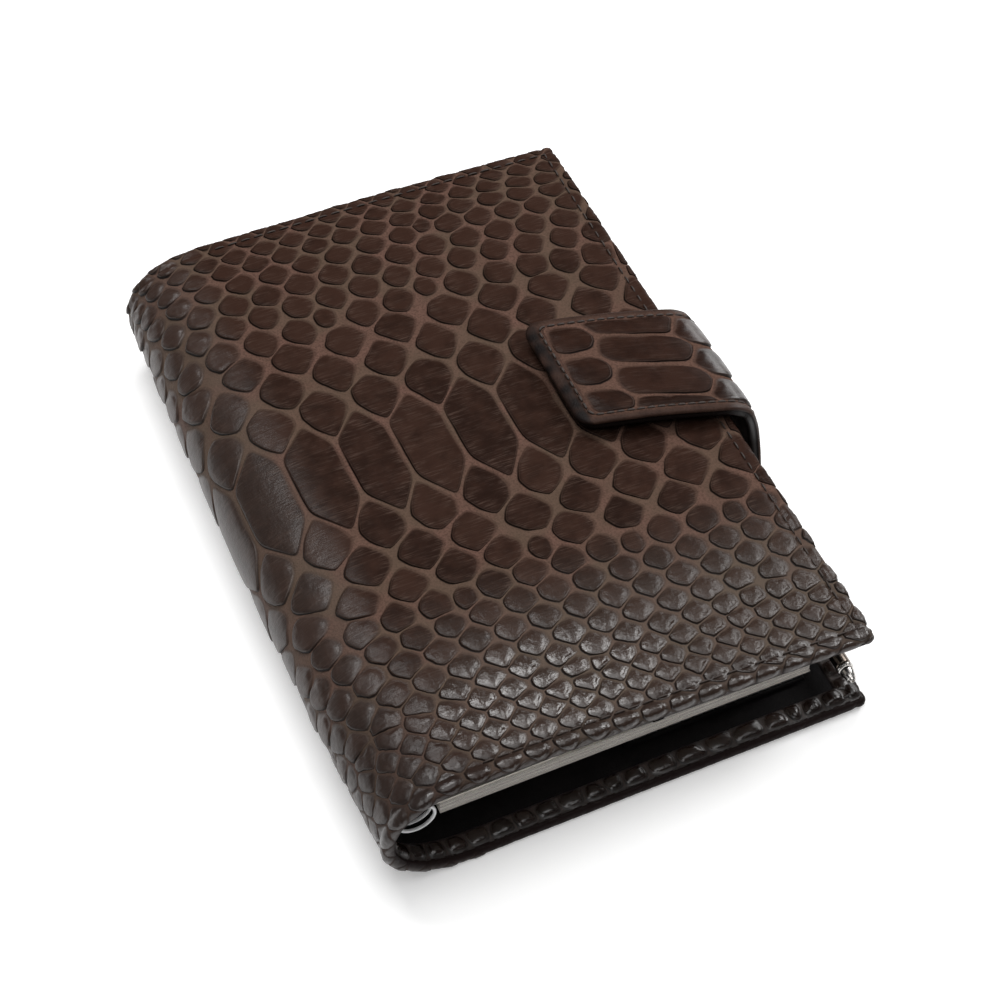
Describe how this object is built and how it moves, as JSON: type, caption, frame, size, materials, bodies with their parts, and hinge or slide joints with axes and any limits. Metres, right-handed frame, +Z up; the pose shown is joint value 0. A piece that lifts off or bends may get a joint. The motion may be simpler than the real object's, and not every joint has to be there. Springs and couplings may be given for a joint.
{
  "type": "leather planner",
  "caption": "Leather planner with a rolled spine and scaled skin covers, closed by a snap strap, holding a wire-bound page insert and a slim pen.",
  "frame": {"origin": "on the surface it lies on, under the middle of the whole closed planner, spine roll and strap included", "axes": "+X from the spine to the fore-edge, +Y along the spine away from the open end in the picture, +Z up out of the back cover"},
  "size_m": [0.1358, 0.188, 0.0395],
  "materials": {
    "python_leather": "semi-gloss scaled skin, dark brown with lighter brown between the scales",
    "spine_leather": "semi-gloss scaled skin, dark brown",
    "black_lining": "matt black grained lining",
    "grey_board": "raw grey board",
    "page_paper": "uncoated off-white",
    "insert_card": "smooth pale card",
    "coated_wire": "white coated steel wire",
    "pen_chrome": "polished",
    "refill_brass": "plain",
    "snap_brass": "antique",
    "strap_leather": "semi-gloss scaled skin, dark brown",
    "strap_lining": "smooth dark leather"
  },
  "bodies": {
    "back_cover": {"back_cover_leather": "python_leather", "back_cover_board": "grey_board", "back_cover_lining": "black_lining", "back_slip_pocket": "black_lining", "pen_loop": "strap_leather"},
    "spine": {"spine_leather": "spine_leather", "spine_lining": "black_lining"},
    "front_cover": {"front_cover_leather": "python_leather", "front_cover_board": "grey_board", "front_cover_lining": "black_lining", "front_slip_pocket": "black_lining", "insert_back_card": "insert_card", "binding_wire": "coated_wire", "snap_stud": "snap_brass", "snap_stud_rivet": "snap_brass"},
    "leaves_first": {"page_block_first": "page_paper"},
    "leaves_middle": {"page_block_middle": "page_paper"},
    "leaves_last": {"page_block_last": "page_paper", "insert_front_card": "insert_card"},
    "strap_side": {"strap_side_leather": "strap_leather", "strap_side_lining": "strap_lining"},
    "strap_tab": {"strap_tab_leather": "strap_leather", "strap_tab_lining": "strap_lining", "snap_socket": "snap_brass", "snap_cap": "snap_brass"},
    "pen": {"pen_tip_cone": "pen_chrome", "pen_ring": "pen_chrome", "pen_lower_barrel": "pen_chrome"},
    "pen_top": {"pen_upper_barrel": "pen_chrome"},
    "pen_refill": {"pen_refill": "refill_brass"}
  },
  "joints": [
    {"name": "spine_fold", "type": "hinge", "parent": "back_cover", "child": "spine", "pos_m": [-0.06324, 0, 0.00685], "axis": [0, -1, 0], "range_deg": [0, 91.09]},
    {"name": "cover_open", "type": "hinge", "parent": "spine", "child": "front_cover", "pos_m": [-0.06281, 0, 0.02979], "axis": [0, -1, 0], "range_deg": [0, 91.07]},
    {"name": "leaves_first_turn", "type": "hinge", "parent": "front_cover", "child": "leaves_first", "pos_m": [-0.0579, 0, 0.0218], "axis": [0, 1, 0], "range_deg": [0, 30]},
    {"name": "leaves_middle_turn", "type": "hinge", "parent": "front_cover", "child": "leaves_middle", "pos_m": [-0.0579, 0, 0.0218], "axis": [0, 1, 0], "range_deg": [0, 66]},
    {"name": "leaves_last_turn", "type": "hinge", "parent": "front_cover", "child": "leaves_last", "pos_m": [-0.0579, 0, 0.0218], "axis": [0, 1, 0], "range_deg": [0, 102]},
    {"name": "strap_open", "type": "hinge", "parent": "back_cover", "child": "strap_side", "pos_m": [0.0679, 0, 0.0009], "axis": [0, 1, 0], "range_deg": [0, 88], "deforming": ["strap_side_leather", "strap_side_lining"]},
    {"name": "strap_unbend", "type": "hinge", "parent": "strap_side", "child": "strap_tab", "pos_m": [0.0679, 0, 0.0342], "axis": [0, 1, 0], "range_deg": [0, 84.1], "deforming": ["strap_tab_leather", "strap_tab_lining", "snap_socket", "snap_cap"]},
    {"name": "pen_slide", "type": "slide", "parent": "back_cover", "child": "pen", "axis": [0, 1, 0], "range_m": [0, 0.058]},
    {"name": "pen_twist", "type": "hinge", "parent": "pen", "child": "pen_top", "pos_m": [0.0604, -0.03, 0.0112], "axis": [0, 1, 0], "range_deg": [0, 120.5]},
    {"name": "refill_advance", "type": "slide", "parent": "pen", "child": "pen_refill", "axis": [0, -1, 0], "range_m": [0, 0.0025]}
  ],
  "couplings": [
    {"joint": "spine_fold", "follows": "cover_open", "ratio": 1},
    {"joint": "leaves_first_turn", "follows": "cover_open", "ratio": 0.3},
    {"joint": "leaves_middle_turn", "follows": "cover_open", "ratio": 0.7},
    {"joint": "leaves_last_turn", "follows": "cover_open", "ratio": 1.1},
    {"joint": "strap_unbend", "follows": "strap_open", "ratio": 0.9545},
    {"joint": "pen_twist", "follows": "refill_advance", "rad_per_m": 837.76}
  ]
}
